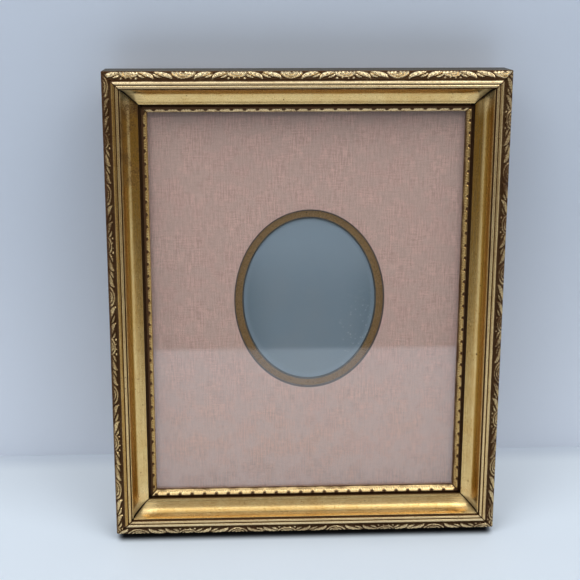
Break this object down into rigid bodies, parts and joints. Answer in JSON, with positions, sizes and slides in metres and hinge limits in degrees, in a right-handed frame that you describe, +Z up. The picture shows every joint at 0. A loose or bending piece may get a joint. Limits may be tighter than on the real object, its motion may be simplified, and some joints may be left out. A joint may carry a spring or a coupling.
{
  "type": "picture frame with an oval mat",
  "caption": "Rectangular gilt moulding frame, glazed, with an oval window in a cloth mat, on a folding easel strut.",
  "frame": {"origin": "middle of the standing frame's footprint, on the surface it stands on", "axes": "+Z up, -Y the way the picture faces, +X to the right as seen from the front"},
  "size_m": [0.2414, 0.096, 0.2896],
  "materials": {
    "gilt_wood": "antique gold leaf on carved wood, dark wash in the recesses",
    "glass": "clear float glass",
    "pink_cloth": "dull pink ribbed cloth",
    "mat_core": "grey-white card",
    "gilt_card": "satin gold face",
    "blue_card": "matt blue-grey",
    "backing_board": "hardboard under dark grained paper",
    "brassed_metal": "dull brass",
    "bright_steel": "bright steel"
  },
  "bodies": {
    "frame": {"top_rail": "gilt_wood", "bottom_rail": "gilt_wood", "left_rail": "gilt_wood", "right_rail": "gilt_wood", "glass_pane": "glass", "mat_cloth": "pink_cloth", "mat_board": "mat_core", "oval_liner": "gilt_card", "picture_card": "blue_card", "back_panel": "backing_board", "corner_v_nails": "bright_steel", "strut_hinge_plate": "brassed_metal", "hinge_plate_rivets": "bright_steel", "hinge_pin": "bright_steel", "sawtooth_hanger": "brassed_metal", "hanger_nails": "bright_steel", "turn_button_screws": "bright_steel"},
    "strut": {"easel_strut": "backing_board", "strut_hinge_leaf": "brassed_metal", "strut_rivets": "bright_steel"},
    "button_left_upper": {"turn_button_left_upper": "brassed_metal"},
    "button_left_lower": {"turn_button_left_lower": "brassed_metal"},
    "button_right_upper": {"turn_button_right_upper": "brassed_metal"},
    "button_right_lower": {"turn_button_right_lower": "brassed_metal"}
  },
  "joints": [
    {"name": "strut_fold", "type": "hinge", "parent": "frame", "child": "strut", "pos_m": [0, 0.01657, 0.18054], "axis": [-1, 0, 0], "range_deg": [0, 21.5]},
    {"name": "button_left_upper_turn", "type": "hinge", "parent": "frame", "child": "button_left_upper", "pos_m": [-0.11025, 0.02, 0.20583], "axis": [0, 0.9781, -0.2079], "continuous": true},
    {"name": "button_left_lower_turn", "type": "hinge", "parent": "frame", "child": "button_left_lower", "pos_m": [-0.11025, -0.00702, 0.07867], "axis": [0, 0.9781, -0.2079], "continuous": true},
    {"name": "button_right_upper_turn", "type": "hinge", "parent": "frame", "child": "button_right_upper", "pos_m": [0.11025, 0.02, 0.20583], "axis": [0, 0.9781, -0.2079], "continuous": true},
    {"name": "button_right_lower_turn", "type": "hinge", "parent": "frame", "child": "button_right_lower", "pos_m": [0.11025, -0.00702, 0.07867], "axis": [0, 0.9781, -0.2079], "continuous": true}
  ]
}
